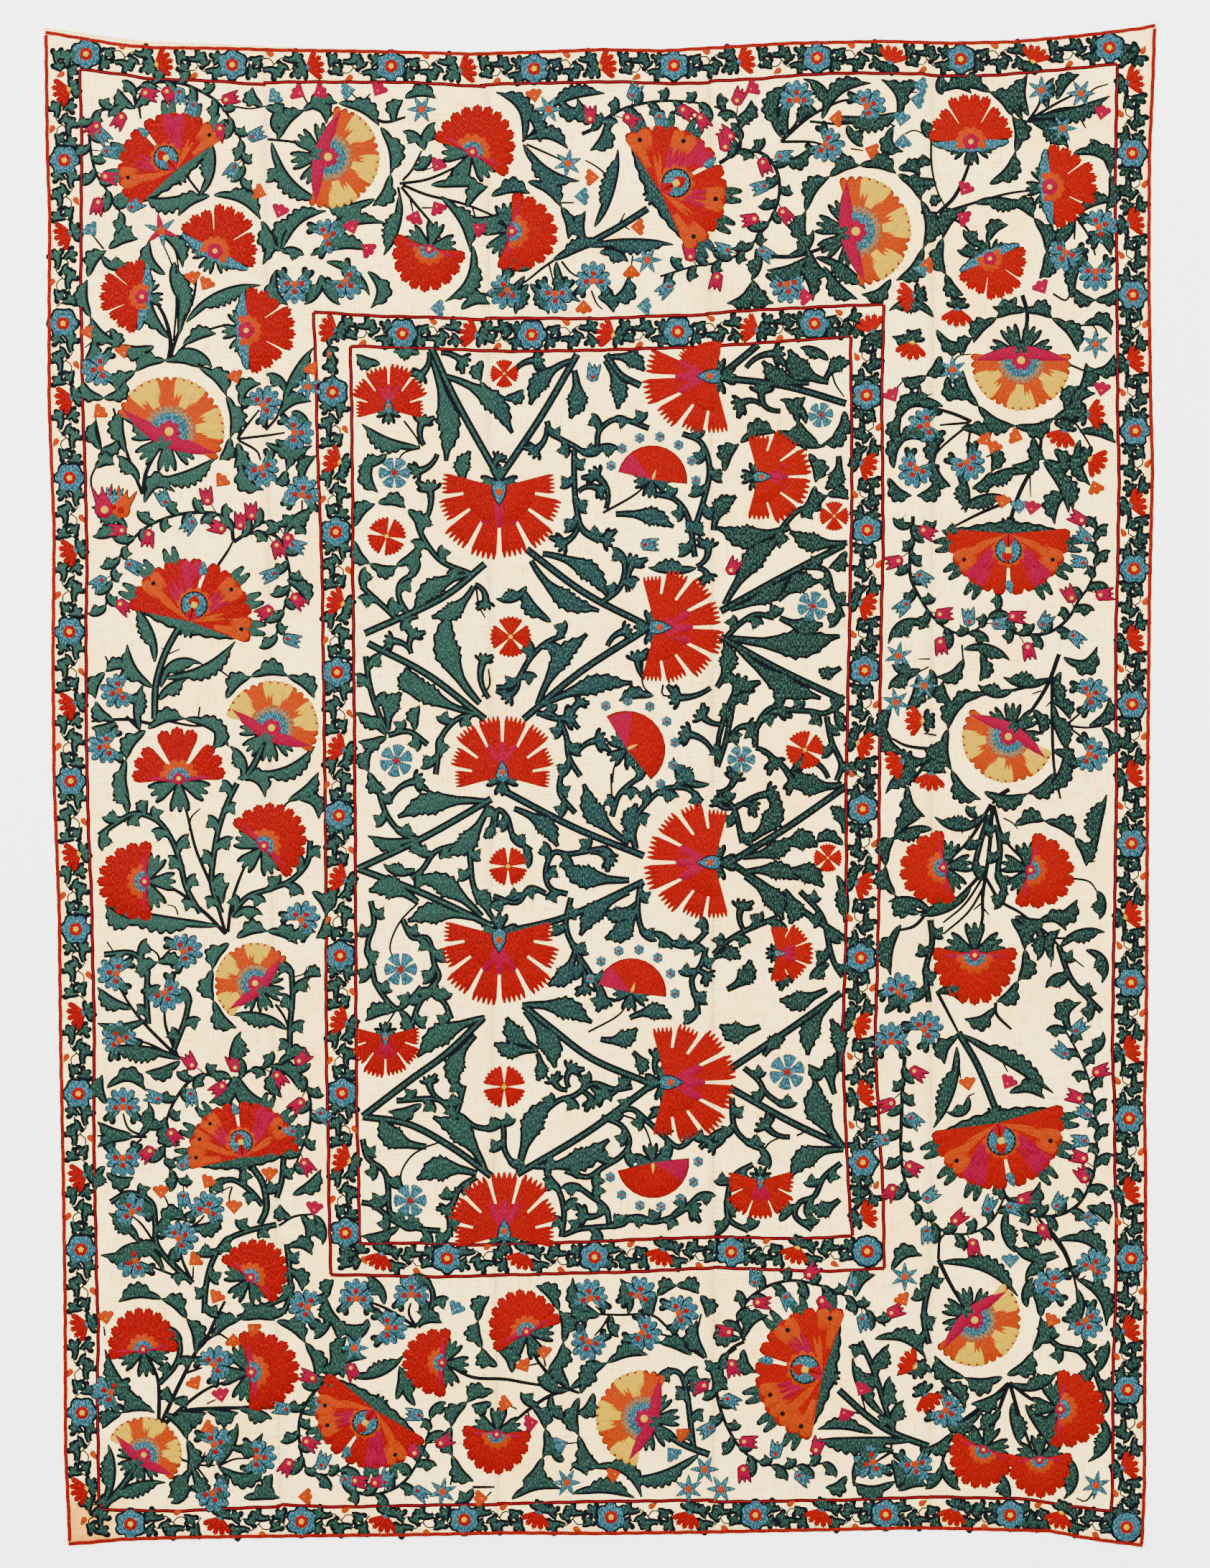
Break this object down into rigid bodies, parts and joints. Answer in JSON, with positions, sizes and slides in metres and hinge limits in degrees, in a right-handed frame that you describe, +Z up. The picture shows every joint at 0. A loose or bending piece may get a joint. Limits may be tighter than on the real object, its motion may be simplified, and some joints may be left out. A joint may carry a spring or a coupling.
{
  "type": "suzani embroidered cover",
  "caption": "Large flat embroidered cotton cover, sewn from long woven panels with a narrow braid along each rim; spread over a bed or table or hung on a wall.",
  "frame": {"origin": "on the resting surface, under the middle of the cover's outline", "axes": "+Z up out of the embroidered face, +Y along the length towards the top rim, +X across to the right rim"},
  "size_m": [1.7502, 2.398, 0.0048],
  "materials": {
    "embroidered_cotton": "matt handwoven cotton with satin silk couching",
    "edging_braid": "satin silk braid"
  },
  "bodies": {
    "root": {"cloth_panel_1": "embroidered_cotton", "cloth_panel_2": "embroidered_cotton", "cloth_panel_3": "embroidered_cotton", "cloth_panel_4": "embroidered_cotton", "cloth_panel_5": "embroidered_cotton", "edging_top": "edging_braid", "edging_right": "edging_braid", "edging_bottom": "edging_braid", "edging_left": "edging_braid"}
  },
  "joints": []
}
